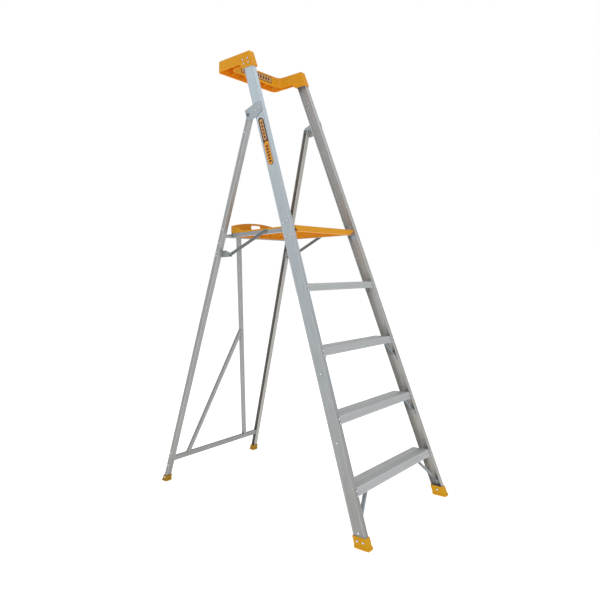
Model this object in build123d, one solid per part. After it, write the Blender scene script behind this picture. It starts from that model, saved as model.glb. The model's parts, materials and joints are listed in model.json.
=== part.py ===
from build123d import *
import math
import os

os.makedirs("parts", exist_ok=True)

# Platform step ladder, standing open. Millimetres, +Z up, climbed facing +Y, left is -X.
# The origin is on the floor, midway between the front and rear feet.

# Driving dimensions
TREAD_PITCH = 285.0
FIRST_TREAD = 232.0
STILE_FOOT_HALF = 365.5    # outer web of a stile from the centre plane, at the floor
STILE_TAPER = 0.068        # how far the web comes in per millimetre of height
STILE_LEAN = 0.3316        # how far the stile goes back per millimetre of height
STILE_DEPTH = 59.0
STILE_FLANGE = 24.3
LEG_FOOT_HALF = 359.4
LEG_LEAN = 0.3175
LEG_DEPTH = 26.5
LEG_FLANGE = 26.0
SPREAD = 1335.5            # front face of a stile to front face of a leg, at the floor
HINGE_Z = 1922.0
HINGE_BEHIND_LEG_FACE = 14.0
PLATFORM_TOP = 1361.0
GUARD_TOP = 2244.0

# Sheet, wall and fastener sizes
WEB = 2.5
FLANGE_WALL = 3.0
PLATE = 3.0
PLASTIC = 4.0
GAP = 0.3
RIVET = 2.4
RIVET_HEAD = 4.8
HEAD_RISE = 2.0
BOLT = 4.0
BORE_PLAY = 0.05

# Drawn line along each side of a channel's web
GROOVE_AT = 4.0
GROOVE_WIDTH = 1.8
GROOVE_DEEP = 0.4

# Feet
SOLE = 6.0
BOOT_HEIGHT = 48.0
REAR_BOOT_HEIGHT = 34.0
LIP = 6.0
LIP_HEIGHT = 11.0

# Treads and braces
TREAD_DEPTH = 82.0
TREAD_FACE = 33.0
TREAD_REAR_FACE = 26.0
TREAD_SHEET = 2.4
BRACE_WIDTH = 16.0
BRACE_SHEET = 2.5
MID_CHANNEL = 29.5         # centre of the stile web behind its front face

# Rear frame
TUBE = 19.0
LOWER_BAR_BOTTOM = 113.0
LOWER_BAR_HEIGHT = 28.0
LOWER_BAR_DEPTH = 19.5
UPPER_BAR_BOTTOM = 1331.0
UPPER_BAR_HEIGHT = 16.0
UPPER_BAR_DEPTH = 19.5
BAR_WALL = 2.0

# Platform
RAIL_HEIGHT = 20.0
RAIL_WIDTH = 21.0
RAIL_SHEET = 2.2
HOOK_SHEET = 3.0
HOOK_WIDTH = 11.0
RAIL_SLOPE = 0.0645        # the rails close in toward the rear, like the folded stiles
DECK_LIP = 7.7
DECK_SKIN = 4.0
DECK_FRONT = 3.0           # apron face behind the stile front face, at deck height
TOE_TOP = 1417.0
TOE_WALL = 5.0
CORNER = 50.0
EAR = 7.0

# Top guard
GUARD_BOTTOM = 2190.0
BLOCK_BOTTOM = 2165.0
GUARD_REAR = 973.0
GUARD_BAY_REAR = 899.0
GUARD_BAY_HALF = 184.0
BAY_CORNER = 28.0
GUARD_CORNER = 24.0

# Everything is laid out from the front face of the stiles at the floor, then centred.
Y0 = -(SPREAD + LEG_DEPTH) / 2


def stile_web(z):
    return STILE_FOOT_HALF - STILE_TAPER * z


def stile_front(z):
    return Y0 + STILE_LEAN * z


def leg_front(z):
    return Y0 + SPREAD - LEG_LEAN * z


HINGE_Y = leg_front(HINGE_Z) + HINGE_BEHIND_LEG_FACE
LEG_TAPER = (LEG_FOOT_HALF - stile_web(HINGE_Z) + 0.5) / HINGE_Z
FOLD = math.atan(STILE_LEAN) + math.atan(LEG_LEAN)
TIP_UP = math.pi / 2 - math.atan(STILE_LEAN)

# Platform pivot P, strut foot L on the leg bracket, and strut head S on the rail.
PIVOT_Y = Y0 + 461.0
PIVOT_Z = 1353.0
STRUT_FOOT_Y = Y0 + 880.0
STRUT_FOOT_Z = 1240.0
RAIL_BOTTOM = PLATFORM_TOP - DECK_LIP - RAIL_HEIGHT
STRUT_HEAD_Z = RAIL_BOTTOM + RAIL_HEIGHT / 2
STRUT_BELOW = 4.4          # channel edge below the line through its two pivots
STRUT_ABOVE = 12.0
STRUT_DEPTH = 3.6
STRUT_SHEET = 2.0
STRUT_FOOT_X = 247.1       # outer face of a strut at its foot and at its head
STRUT_HEAD_X = 234.4
ARM_X = 247.7              # inner face of the strut bracket's arm
ARM_SHEET = 2.5
TAIL = 3.0                 # radius of the strut rivet's tail in the rail
LUG_TOP = 1358.6           # rail web raised round the platform pin
DECK_BACK_Y = Y0 + 940.0
RAIL_END_Y = Y0 + 901.0


def leg_web(z):
    return LEG_FOOT_HALF - LEG_TAPER * z


def turn(y, z, angle):
    c, s = math.cos(angle), math.sin(angle)
    return y * c - z * s, y * s + z * c


def strut_head_y():
    """Place on the rail where one strut length fits the open and the folded ladder."""
    foot_y, foot_z = STRUT_FOOT_Y - HINGE_Y, STRUT_FOOT_Z - HINGE_Z
    folded_y, folded_z = turn(foot_y, foot_z, -FOLD)
    open_y, open_z = STRUT_FOOT_Y - PIVOT_Y, STRUT_FOOT_Z - PIVOT_Z
    shut_y, shut_z = folded_y + HINGE_Y - PIVOT_Y, folded_z + HINGE_Z - PIVOT_Z
    drop = STRUT_HEAD_Z - PIVOT_Z
    c, s = math.cos(TIP_UP), math.sin(TIP_UP)
    change = (open_y ** 2 + open_z ** 2 - shut_y ** 2 - shut_z ** 2) / 2
    reach = change - drop * (open_z + shut_y * s - shut_z * c)
    return PIVOT_Y + reach / (open_y - shut_y * c - shut_z * s)


STRUT_HEAD_Y = strut_head_y()


def rail_half(y):
    """Outer face of a platform rail from the centre plane."""
    return 239.0 - RAIL_SLOPE * (y - PIVOT_Y)


def prism(outline, sweep):
    """Solid swept from a flat outline of 3-D points along a vector."""
    return Solid.extrude(Face(Wire.make_polygon(outline, close=True)), Vector(*sweep))


def rod_x(radius, x_from, x_to, y, z):
    """Round bar along X between two x values."""
    middle = (x_from + x_to) / 2
    return Pos(middle, y, z) * Rot(0, 90, 0) * Cylinder(radius, abs(x_to - x_from))


def box_at(x, y, z):
    """Box from three (low, high) spans."""
    size = [abs(hi - lo) for lo, hi in (x, y, z)]
    centre = [(hi + lo) / 2 for lo, hi in (x, y, z)]
    return Pos(*centre) * Box(*size)


def rivet(spot):
    """Domed head and shank; a spot is where the head sits, the way it faces and its grip."""
    at, out, grip = spot
    ball = (RIVET_HEAD ** 2 + HEAD_RISE ** 2) / (2 * HEAD_RISE)
    cap = Pos(0, 0, HEAD_RISE - ball) * Sphere(ball)
    cap &= Pos(0, 0, HEAD_RISE / 2) * Cylinder(RIVET_HEAD, HEAD_RISE)
    shank = Pos(0, 0, (0.5 - grip) / 2) * Cylinder(RIVET, grip + 0.5)
    return Plane(origin=at, z_dir=out) * (cap + shank)


def drill(body, spots):
    """Cut the hole of each rivet that passes through a body."""
    for at, out, grip in spots:
        hole = Pos(0, 0, -grip / 2) * Cylinder(RIVET + BORE_PLAY, grip + 2)
        body -= Plane(origin=at, z_dir=out) * hole
    return body


def save(shape, name):
    shape.label = name
    export_step(shape, f"parts/{name}.step")


def save_pair(make, name):
    for side, word in ((-1, "left"), (1, "right")):
        save(make(side), f"{name}_{word}")


BRACES = {1: (61.0, 205.0), 2: (410.0, 262.0), 3: (694.0, 238.0)}    # web rivet z, head x
BARS = {"lower": (LOWER_BAR_BOTTOM, LOWER_BAR_HEIGHT, LOWER_BAR_DEPTH),
        "upper": (UPPER_BAR_BOTTOM, UPPER_BAR_HEIGHT, UPPER_BAR_DEPTH)}


def tread_top(number):
    return FIRST_TREAD + (number - 1) * TREAD_PITCH


def tread_spots(number):
    """Two rivets through each front flange into the nose of a tread."""
    out = (0, -1, STILE_LEAN)
    spots = []
    for drop in (8, 27):
        z = tread_top(number) - drop
        for side in (-1, 1):
            at = (side * (stile_web(z) - 17), stile_front(z), z)
            spots.append((at, out, FLANGE_WALL + TREAD_SHEET + 0.4))
    return spots


def web_spots(side):
    """Rivets through a stile web: braces, foot, hinge plate, pivot bracket and guard."""
    places = [(MID_CHANNEL, foot_z, 0, BRACE_SHEET) for foot_z, _ in BRACES.values()]
    places += [(across, 30, PLASTIC, PLASTIC) for across in (14, 43)]
    for across in (12, 41):
        for lift in (-33, 33):
            places.append((across, PIVOT_Z + lift - 0.33 * across, 0, PLATE))
    places += [(19, 1947, PLATE + 0.05, PLATE), (48, 1935, PLATE + 0.05, PLATE)]
    places += [(across, z, PLASTIC, PLASTIC) for across in (19, 52) for z in (2186, 2208)]
    out = (side, 0, STILE_TAPER)
    spots = []
    for across, z, lift, other in places:
        at = (side * (stile_web(z) + lift), stile_front(z) + across, z)
        spots.append((at, out, WEB + other + 0.4))
    inner = stile_web(30) - STILE_FLANGE - PLASTIC
    spots.append(((side * inner, stile_front(30) + MID_CHANNEL, 30), (-side, 0, -STILE_TAPER), PLASTIC + 1))
    return spots


def leg_spots(side):
    """Rivets through a leg web: bar brackets, strut bracket, hinge spacer and foot."""
    places = []
    for bottom, height, _ in BARS.values():
        places += [(bottom + height / 2 + lift, 0, PLATE) for lift in (-36, 36)]
    places += [(STRUT_FOOT_Z + lift, 0, PLATE) for lift in (0, 18)]
    places += [(HINGE_Z - 78, 0, 0), (22, PLASTIC, PLASTIC)]
    out = (side, 0, LEG_TAPER)
    spots = []
    for z, lift, other in places:
        at = (side * (leg_web(z) + lift), leg_front(z) + LEG_DEPTH / 2, z)
        spots.append((at, out, WEB + other + 0.4))
    return spots


# ---- Front frame -------------------------------------------------------------

STILE_TOP = GUARD_TOP - PLASTIC - GAP


def channel(side, web_x, front_y, z, depth, flange, run):
    """C-section with the web outward, swept up a leaning axis from height z."""
    x_in = web_x - WEB
    x_lip = web_x - flange
    wall = FLANGE_WALL
    outline = [(web_x, front_y), (x_lip, front_y), (x_lip, front_y + wall), (x_in, front_y + wall),
               (x_in, front_y + depth - wall), (x_lip, front_y + depth - wall),
               (x_lip, front_y + depth), (web_x, front_y + depth)]
    for y in (front_y + depth - GROOVE_AT, front_y + GROOVE_AT + GROOVE_WIDTH):
        outline += [(web_x, y), (web_x - GROOVE_DEEP, y - GROOVE_DEEP),
                    (web_x - GROOVE_DEEP, y - GROOVE_WIDTH + GROOVE_DEEP), (web_x, y - GROOVE_WIDTH)]
    return prism([(side * x, y, z) for x, y in outline], run)


def stile(side):
    rise = STILE_TOP - SOLE
    run = (-side * STILE_TAPER * rise, STILE_LEAN * rise, rise)
    body = channel(side, stile_web(SOLE), stile_front(SOLE), SOLE, STILE_DEPTH, STILE_FLANGE, run)
    body = drill(body, web_spots(side)[:-1])
    for number in (1, 2, 3, 4):
        body = drill(body, tread_spots(number)[(side + 1) // 2::2])
    return body


def tread(number):
    """Folded sheet step: a ribbed top, a leaning nose and a rear lip, notched round the stiles."""
    top = tread_top(number)
    half = stile_web(top) - WEB - 0.5
    nose = stile_front(top) + FLANGE_WALL + 0.2
    back = nose + TREAD_DEPTH
    lean = STILE_LEAN * TREAD_FACE
    rear_lean = STILE_LEAN * TREAD_REAR_FACE
    t = TREAD_SHEET
    outline = [(nose, top), (back, top), (back - rear_lean, top - TREAD_REAR_FACE),
               (back - rear_lean - t, top - TREAD_REAR_FACE), (back - t, top - t), (nose + t, top - t),
               (nose + t - lean, top - TREAD_FACE), (nose - lean, top - TREAD_FACE)]
    body = prism([(-half, y, z) for y, z in outline], (2 * half, 0, 0))
    notch_y = stile_front(top) + STILE_DEPTH - FLANGE_WALL - 1.0 - lean
    notch_x = stile_web(top) - STILE_FLANGE - 9.0
    for side in (-1, 1):
        body -= box_at((side * notch_x, side * (half + 5)), (notch_y, back + 5),
                       (top - TREAD_FACE - 1, top + 1))
    ribs = 9
    for i in range(ribs):
        y = nose + 5 + i * (notch_y - nose - 8) / (ribs - 1)
        body -= box_at((-half - 1, half + 1), (y - 0.8, y + 0.8), (top - 0.8, top + 1))
    for drop in (12, 21):
        y = nose - STILE_LEAN * drop
        body -= prism([(-half - 1, y - 1, top - drop), (-half - 1, y + 0.6, top - drop),
                       (-half - 1, y + 0.6 - STILE_LEAN * 2, top - drop - 2),
                       (-half - 1, y - 1 - STILE_LEAN * 2, top - drop - 2)], (2 * half + 2, 0, 0))
    return drill(body, tread_spots(number))


def brace(side, foot_z, head_x, head_z):
    """Pressed strip from the web of a stile up to the underside of a tread."""
    foot_x = stile_web(foot_z) - WEB
    t = BRACE_SHEET
    tab = 24.0
    run_x, run_z = foot_x - head_x, head_z - foot_z
    length = math.hypot(run_x, run_z)
    nx, nz = t * run_z / length, t * run_x / length
    tip_x = stile_web(foot_z - tab / 2) - WEB
    bend_x = stile_web(foot_z + tab / 2) - WEB
    outline = [(tip_x, foot_z - tab / 2), (bend_x, foot_z + tab / 2), (head_x, head_z),
               (head_x - tab, head_z), (head_x - tab, head_z - t), (head_x - nx, head_z - nz - t / 2),
               (bend_x - t - 1, foot_z + tab / 2 - 2), (tip_x - t, foot_z - tab / 2)]
    mid = MID_CHANNEL - BRACE_WIDTH / 2
    flat = prism([(side * x, stile_front(z) + mid, z) for x, z in outline], (0, BRACE_WIDTH, 0))
    rib_drop = 5.0
    rib = [(bend_x - 4, foot_z + tab / 2 + 2), (head_x - 2, head_z - t),
           (head_x - 6, head_z - t - rib_drop), (bend_x - 8, foot_z + tab / 2 - 1)]
    for y in (mid, mid + BRACE_WIDTH - 2):
        flat += prism([(side * x, stile_front(z) + y, z) for x, z in rib], (0, 2, 0))
    return drill(flat, web_spots(side)[:3])


def boot(side, web_x, front_y, depth, flange, height, slope_y, slope_x):
    """Moulded foot: a closed box round the end of a channel with a wider lip on the floor."""
    wall = PLASTIC
    x_out, x_in = web_x + wall, web_x - flange - wall
    y_out, y_in = front_y - wall, front_y + depth + wall
    base = [(x_out, y_out), (x_in, y_out), (x_in, y_in), (x_out, y_in)]
    run = (-side * slope_x * height, slope_y * height, height)
    body = prism([(side * x, y, 0) for x, y in base], run)
    lip = [(x_out + LIP - wall, y_out - LIP + wall), (x_in - LIP + wall, y_out - LIP + wall),
           (x_in - LIP + wall, y_in + LIP - wall), (x_out + LIP - wall, y_in + LIP - wall)]
    body += prism([(side * x, y, 0) for x, y in lip],
                  (-side * slope_x * LIP_HEIGHT, slope_y * LIP_HEIGHT, LIP_HEIGHT))
    fit = GAP
    shift_x, shift_y = -slope_x * SOLE, slope_y * SOLE
    hole = [(web_x + fit, front_y - fit), (web_x - flange - fit, front_y - fit),
            (web_x - flange - fit, front_y + depth + fit), (web_x + fit, front_y + depth + fit)]
    body -= prism([(side * (x + shift_x), y + shift_y, SOLE - 0.1) for x, y in hole], run)
    return body


def front_boot(side):
    body = boot(side, stile_web(0), stile_front(0), STILE_DEPTH, STILE_FLANGE,
                BOOT_HEIGHT, STILE_LEAN, STILE_TAPER)
    return drill(body, web_spots(side)[3:5] + web_spots(side)[-1:])


def rear_boot(side):
    body = boot(side, leg_web(0), leg_front(0), LEG_DEPTH, LEG_FLANGE,
                REAR_BOOT_HEIGHT, -LEG_LEAN, LEG_TAPER)
    return drill(body, leg_spots(side)[-1:])


def hinge_plate(side):
    """Flat plate on the outside of the stile, reaching back to carry the leg bolt."""
    lean = math.atan(STILE_LEAN)
    outline = [(15, 33), (-42, 33.5), (-86, 28), (-94, 22), (-97, 12), (-97, -12), (-92, -24), (-45, -38),
               (0, -30), (11, -18)]
    points = []
    for across, along in outline:
        y = HINGE_Y + across * math.cos(lean) + along * math.sin(lean)
        z = HINGE_Z - across * math.sin(lean) + along * math.cos(lean)
        points.append((side * (stile_web(z) + 0.05), y, z))
    plate = prism(points, (side * PLATE, 0, 0))
    plate = fillet(plate.edges().filter_by(Axis.X), 4)
    hole = rod_x(BOLT + 1 + BORE_PLAY, side * 200, side * 260, HINGE_Y, HINGE_Z)
    return drill(plate - hole, web_spots(side)[9:11])


def pivot_bracket(side):
    """Hat-shaped pressing riveted in the stile channel; its raised face holds the platform pin."""
    low, high = PIVOT_Z - 46, PIVOT_Z + 38
    rise = 7.0
    cap = 19.0
    skin = PLATE
    y_gap = FLANGE_WALL + 1.5

    def face(z):
        return stile_web(z) - WEB

    def side_points(depth_z):
        return [(side * (face(z) - depth), stile_front(z) + y_gap, z) for z, depth in depth_z]

    outline = [(low, 0), (high, 0), (high, skin), (PIVOT_Z + cap, skin), (PIVOT_Z + cap, rise + skin),
               (PIVOT_Z - cap, rise + skin), (PIVOT_Z - cap, skin), (low, skin)]
    body = prism(side_points(outline), (0, STILE_DEPTH - 2 * y_gap, 0))
    hollow = [(PIVOT_Z - cap + skin, -1), (PIVOT_Z + cap - skin, -1),
              (PIVOT_Z + cap - skin, rise), (PIVOT_Z - cap + skin, rise)]
    body -= prism(side_points(hollow), (0, STILE_DEPTH, 0))
    bore = rod_x(BOLT + BORE_PLAY, side * 240, side * 290, PIVOT_Y, PIVOT_Z)
    return drill(body - bore, web_spots(side)[5:9])


def guard_side(side):
    """One tapered half of the guard's outer skin: arm wall, stile block and its front face."""
    lean_top = stile_front(GUARD_TOP) - PLASTIC
    lean_low = stile_front(BLOCK_BOTTOM) - PLASTIC
    block_back = stile_front(BLOCK_BOTTOM) + STILE_DEPTH + PLASTIC + 3
    back = Y0 + GUARD_REAR
    outline = [(lean_top, GUARD_TOP), (lean_low, BLOCK_BOTTOM), (block_back, BLOCK_BOTTOM),
               (block_back + 24, GUARD_BOTTOM), (back, GUARD_BOTTOM), (back, GUARD_TOP)]
    points = [(side * (stile_web(z) + PLASTIC), y, z) for y, z in outline]
    skin = prism(points, (-side * (PLASTIC - GAP), 0, 0))
    inner = [(side * GUARD_BAY_HALF, y, z) for y, z in outline[:4]]
    inner[2] = (side * GUARD_BAY_HALF, block_back, BLOCK_BOTTOM)
    inner.append((side * GUARD_BAY_HALF, block_back + 24, GUARD_TOP))
    skin += prism(inner, (side * PLASTIC, 0, 0))
    face = [(side * (stile_web(z) + PLASTIC), y, z) for y, z in outline[:2]]
    face += [(side * GUARD_BAY_HALF, lean_low, BLOCK_BOTTOM), (side * GUARD_BAY_HALF, lean_top, GUARD_TOP)]
    skin += prism(face, (0, PLASTIC - GAP, 0))
    wall_top = GUARD_BOTTOM - 2
    back_face = [(side * x, stile_front(z) + STILE_DEPTH + 1, z) for x, z in
                 ((stile_web(BLOCK_BOTTOM) + 1, BLOCK_BOTTOM), (GUARD_BAY_HALF, BLOCK_BOTTOM),
                  (GUARD_BAY_HALF, wall_top), (stile_web(wall_top) + 1, wall_top))]
    return skin + prism(back_face, (0, PLASTIC, 0))


def bay_outline(grow, z):
    """Plan of the guard's open bay, grown outward by a wall."""
    half = GUARD_BAY_HALF + grow
    front = stile_front(GUARD_TOP) - 30
    back = Y0 + GUARD_BAY_REAR + grow
    radius = BAY_CORNER + grow
    plan = Pos(0, (front + back) / 2, z) * Rectangle(2 * half, back - front)
    corners = plan.vertices().group_by(Axis.Y)[-1]
    return fillet(corners, radius)


def guard_shell(inset):
    """Solid block inside the guard's outer skin, with its rear corners rounded in plan."""
    faces = []
    for z in (BLOCK_BOTTOM - 1, GUARD_TOP):
        half = stile_web(z) + PLASTIC - inset
        front, back = stile_front(z) - 60, Y0 + GUARD_REAR - inset
        plan = Pos(0, (front + back) / 2, z) * Rectangle(2 * half, back - front)
        faces.append(fillet(plan.vertices().group_by(Axis.Y)[-1], GUARD_CORNER - inset).face())
    return loft(faces, ruled=True)


def top_guard():
    """One U-shaped moulding: arms, rear rail with a hollow underside, and a block on each stile."""
    front = stile_front(GUARD_TOP) - PLASTIC
    back = Y0 + GUARD_REAR
    half = stile_web(GUARD_TOP) + PLASTIC
    roof = box_at((-half, half), (front, back), (GUARD_TOP - PLASTIC, GUARD_TOP))
    body = roof + guard_side(-1) + guard_side(1)
    rear_half = stile_web(GUARD_BOTTOM) + PLASTIC
    rear = [(-half, GUARD_TOP), (half, GUARD_TOP), (rear_half, GUARD_BOTTOM), (-rear_half, GUARD_BOTTOM)]
    body += prism([(x, back - PLASTIC, z) for x, z in rear], (0, PLASTIC, 0))
    wall_height = GUARD_TOP - GUARD_BOTTOM
    wall = extrude(bay_outline(PLASTIC, GUARD_BOTTOM), wall_height)
    keep = box_at((-300, 300), (front, back), (GUARD_BOTTOM, GUARD_TOP))
    body += wall & keep
    body -= extrude(bay_outline(0, BLOCK_BOTTOM - 10), wall_height + 60)
    for x in (-120, -40, 40, 120):
        body += box_at((x - 1.5, x + 1.5), (Y0 + GUARD_BAY_REAR + 2, back - 2),
                       (GUARD_BOTTOM + 14, GUARD_TOP - 2))
    ends = box_at((-300, 300), (back - GUARD_CORNER - 2, back + 1), (GUARD_BOTTOM, GUARD_TOP))
    body = (body & guard_shell(0)) + (guard_shell(0) - guard_shell(PLASTIC) & ends)
    for side in (-1, 1):
        body = drill(body, web_spots(side)[11:15])
    return body


def stile_label(side):
    """Pill-shaped sticker plate on the outside of the left stile."""
    low, high = 1655.0, 1893.0
    width = 34.0
    mid = STILE_DEPTH / 2
    run = high - low
    outline = []
    for i in range(9):
        angle = math.pi * i / 8
        outline.append((width / 2 * math.cos(angle), run - width / 2 + width / 2 * math.sin(angle)))
    for i in range(9):
        angle = math.pi + math.pi * i / 8
        outline.append((width / 2 * math.cos(angle), width / 2 + width / 2 * math.sin(angle)))
    points = []
    for across, along in outline:
        z = low + along
        points.append((side * (stile_web(z) + 0.05), stile_front(z) + mid + across, z))
    return prism(points, (side * 0.6, 0, 0))


def guard_label():
    """Rounded name panel on the wall of the guard that faces the user."""
    panel = RectangleRounded(236, 34, 4)
    placed = Plane(origin=(0, Y0 + GUARD_BAY_REAR - 0.05, 2219), x_dir=(1, 0, 0), z_dir=(0, -1, 0))
    return extrude(placed * panel, 0.8)


def rivets(spots):
    return Compound(children=[rivet(spot) for spot in spots])


def hinge_bolt(side):
    """Shouldered bolt from outside the plate through the leg, with a nut inside."""
    web = stile_web(HINGE_Z)
    radius = BOLT + 1
    seat = web + PLATE + 0.8
    shank = rod_x(radius, side * (web - 22), side * seat, HINGE_Y, HINGE_Z)
    head = rod_x(9, side * seat, side * (seat + 4.5), HINGE_Y, HINGE_Z)
    nut = Pos(side * (web - 19), HINGE_Y, HINGE_Z) * Rot(0, 90, 0) * extrude(RegularPolygon(8, 6), 3, both=True)
    return shank + head + nut


# ---- Rear frame --------------------------------------------------------------

def leg(side):
    top_z = HINGE_Z + 13
    rise = top_z - SOLE
    run = (-side * LEG_TAPER * rise, -LEG_LEAN * rise, rise)
    body = channel(side, leg_web(SOLE), leg_front(SOLE), SOLE, LEG_DEPTH, LEG_FLANGE, run)
    keep = box_at((0, side * 500), (Y0, Y0 + 2000), (0, HINGE_Z))
    keep += rod_x(14, side * 180, side * 300, HINGE_Y, HINGE_Z)
    hole = rod_x(BOLT + 1 + BORE_PLAY, side * 180, side * 300, HINGE_Y, HINGE_Z)
    return drill((body & keep) - hole, leg_spots(side))


def hinge_bush(side):
    """Plain spacer tube round the hinge bolt inside the leg channel."""
    web = leg_web(HINGE_Z)
    tube = rod_x(BOLT + 4, side * (web - 15.4), side * (web - WEB - 0.65), HINGE_Y, HINGE_Z)
    return tube - rod_x(BOLT + 1 + BORE_PLAY, side * 180, side * 300, HINGE_Y, HINGE_Z)


def bar(bottom, height, depth):
    """Rectangular tube between the two legs, leaning with them and open at its ends."""
    top = bottom + height
    half = leg_web(top) - WEB - PLATE - 0.6

    def tube(inset, reach):
        section = ((inset, bottom + inset), (depth - inset, bottom + inset),
                   (depth - inset, top - inset), (inset, top - inset))
        offset = (LEG_DEPTH - depth) / 2
        points = [(-reach, leg_front(z) + offset + y, z) for y, z in section]
        return prism(points, (2 * reach, 0, 0))

    return tube(0, half) - tube(BAR_WALL, half + 1)


def bar_bracket(side, which):
    """Strip riveted to the leg web above and below a bar, with two ears that hold the tube end."""
    bottom, height, depth = BARS[which]
    mid = bottom + height / 2
    low, high = mid - 44, mid + 44
    margin = FLANGE_WALL + 0.6

    def strip(z_from, z_to, x_from, x_to):
        points = []
        for z, x in ((z_from, x_from), (z_to, x_from), (z_to, x_to), (z_from, x_to)):
            points.append((side * (leg_web(z) - WEB - x), leg_front(z) + margin, z))
        return prism(points, (0, LEG_DEPTH - 2 * margin, 0))

    body = strip(low, high, 0, PLATE)
    body += strip(bottom + height + 0.2, bottom + height + 0.2 + PLATE, PLATE - 0.5, 20)
    body += strip(bottom - 0.2 - PLATE, bottom - 0.2, PLATE - 0.5, 20)
    return drill(body, leg_spots(side)[:4])


def diagonal(foot_x, foot_z, head_x, head_z):
    """Square tube lying in the plane of the rear frame, cut level at both ends."""
    reach = TUBE / 2 / math.cos(math.atan2(abs(head_x - foot_x), head_z - foot_z))
    offset = (LEG_DEPTH - TUBE) / 2
    t = 1.6

    def tube(half, inset, low, high):
        slope = (head_x - foot_x) / (head_z - foot_z)
        centre_low = foot_x + slope * (low - foot_z)
        centre_high = foot_x + slope * (high - foot_z)
        points = [(centre_low - half, low), (centre_low + half, low),
                  (centre_high + half, high), (centre_high - half, high)]
        outline = [(x, leg_front(z) + offset + inset, z) for x, z in points]
        return prism(outline, (0, TUBE - 2 * inset, 0))

    return tube(reach, 0, foot_z, head_z) - tube(reach - t, t, foot_z - 1, head_z + 1)


LOWER_TOP = LOWER_BAR_BOTTOM + LOWER_BAR_HEIGHT
LONG_FOOT_X, LONG_HEAD_X = 222.0, -143.0
SHORT_FOOT_X, SHORT_HEAD_Z = -222.0, 830.0


def diagonal_long():
    return diagonal(LONG_FOOT_X, LOWER_TOP + 0.1, LONG_HEAD_X, UPPER_BAR_BOTTOM - 0.1)


def diagonal_short():
    slope = (LONG_HEAD_X - LONG_FOOT_X) / (UPPER_BAR_BOTTOM - LOWER_TOP)
    meet_x = LONG_FOOT_X + slope * (SHORT_HEAD_Z - LOWER_TOP)
    body = diagonal(SHORT_FOOT_X, LOWER_TOP + 0.1, meet_x, SHORT_HEAD_Z)
    wide = TUBE / 2 + 2.1
    cutter = []
    for z in (LOWER_TOP - 50, UPPER_BAR_BOTTOM + 50):
        cutter.append((LONG_FOOT_X + slope * (z - LOWER_TOP) - wide, z))
    outline = [cutter[0], cutter[1], (cutter[1][0] + 400, cutter[1][1]), (cutter[0][0] + 400, cutter[0][1])]
    return body - prism([(x, Y0, z) for x, z in outline], (0, 1500, 0))


def strut_x(y, z):
    """Outer face of a strut; it closes in from the leg bracket to the rail."""
    along = math.dist((STRUT_FOOT_Y, STRUT_FOOT_Z), (y, z))
    total = math.dist((STRUT_FOOT_Y, STRUT_FOOT_Z), (STRUT_HEAD_Y, STRUT_HEAD_Z))
    toward = (y - STRUT_FOOT_Y) * (STRUT_HEAD_Y - STRUT_FOOT_Y) + (z - STRUT_FOOT_Z) * (STRUT_HEAD_Z - STRUT_FOOT_Z)
    share = math.copysign(along, toward) / total
    return STRUT_FOOT_X + (STRUT_HEAD_X - STRUT_FOOT_X) * share


def strut_bracket(side):
    """Pressed bracket: a foot on the leg web, a step inward and an arm forward to the strut."""
    half = 17.0
    mid_z = STRUT_FOOT_Z + 8
    low, high = mid_z - half, mid_z + half
    margin = FLANGE_WALL + 0.6

    def web(z):
        return leg_web(z) - WEB - 0.1

    def leaning(x_z, offset):
        return [(side * x, leg_front(z) + offset, z) for x, z in x_z]

    foot = prism(leaning([(web(low), low), (web(high), high), (web(high) - PLATE, high),
                          (web(low) - PLATE, low)], margin), (0, LEG_DEPTH - 2 * margin, 0))
    step = prism(leaning([(web(low), low), (web(high), high), (ARM_X, high), (ARM_X, low)], margin),
                 (0, PLATE, 0))
    nose = STRUT_FOOT_Y - 11
    neck = leg_front(mid_z) - 20
    plate = [(leg_front(high) + margin + PLATE, high), (neck, high), (nose, STRUT_FOOT_Z + 9),
             (nose, STRUT_FOOT_Z - 9), (neck, low), (leg_front(low) + margin + PLATE, low)]
    arm = prism([(side * ARM_X, y, z) for y, z in plate], (side * ARM_SHEET, 0, 0))
    body = foot + step + arm
    for z in (low, high - 2):
        end = leg_front(z) + margin
        body += box_at((side * (ARM_X - 12), side * (ARM_X + ARM_SHEET)), (neck, end), (z, z + 2))
    body -= rod_x(BOLT + BORE_PLAY, side * 200, side * 260, STRUT_FOOT_Y, STRUT_FOOT_Z)
    return drill(body, leg_spots(side)[4:6])


def strut_pin(side):
    """Headed pin through the bracket arm and the strut."""
    inner = STRUT_FOOT_X - STRUT_DEPTH - 1.5
    outer = ARM_X + ARM_SHEET + 0.1
    shank = rod_x(BOLT, side * inner, side * outer, STRUT_FOOT_Y, STRUT_FOOT_Z)
    head = rod_x(BOLT + 3.5, side * outer, side * (outer + 2), STRUT_FOOT_Y, STRUT_FOOT_Z)
    return shank + head


# ---- Platform ----------------------------------------------------------------

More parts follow.
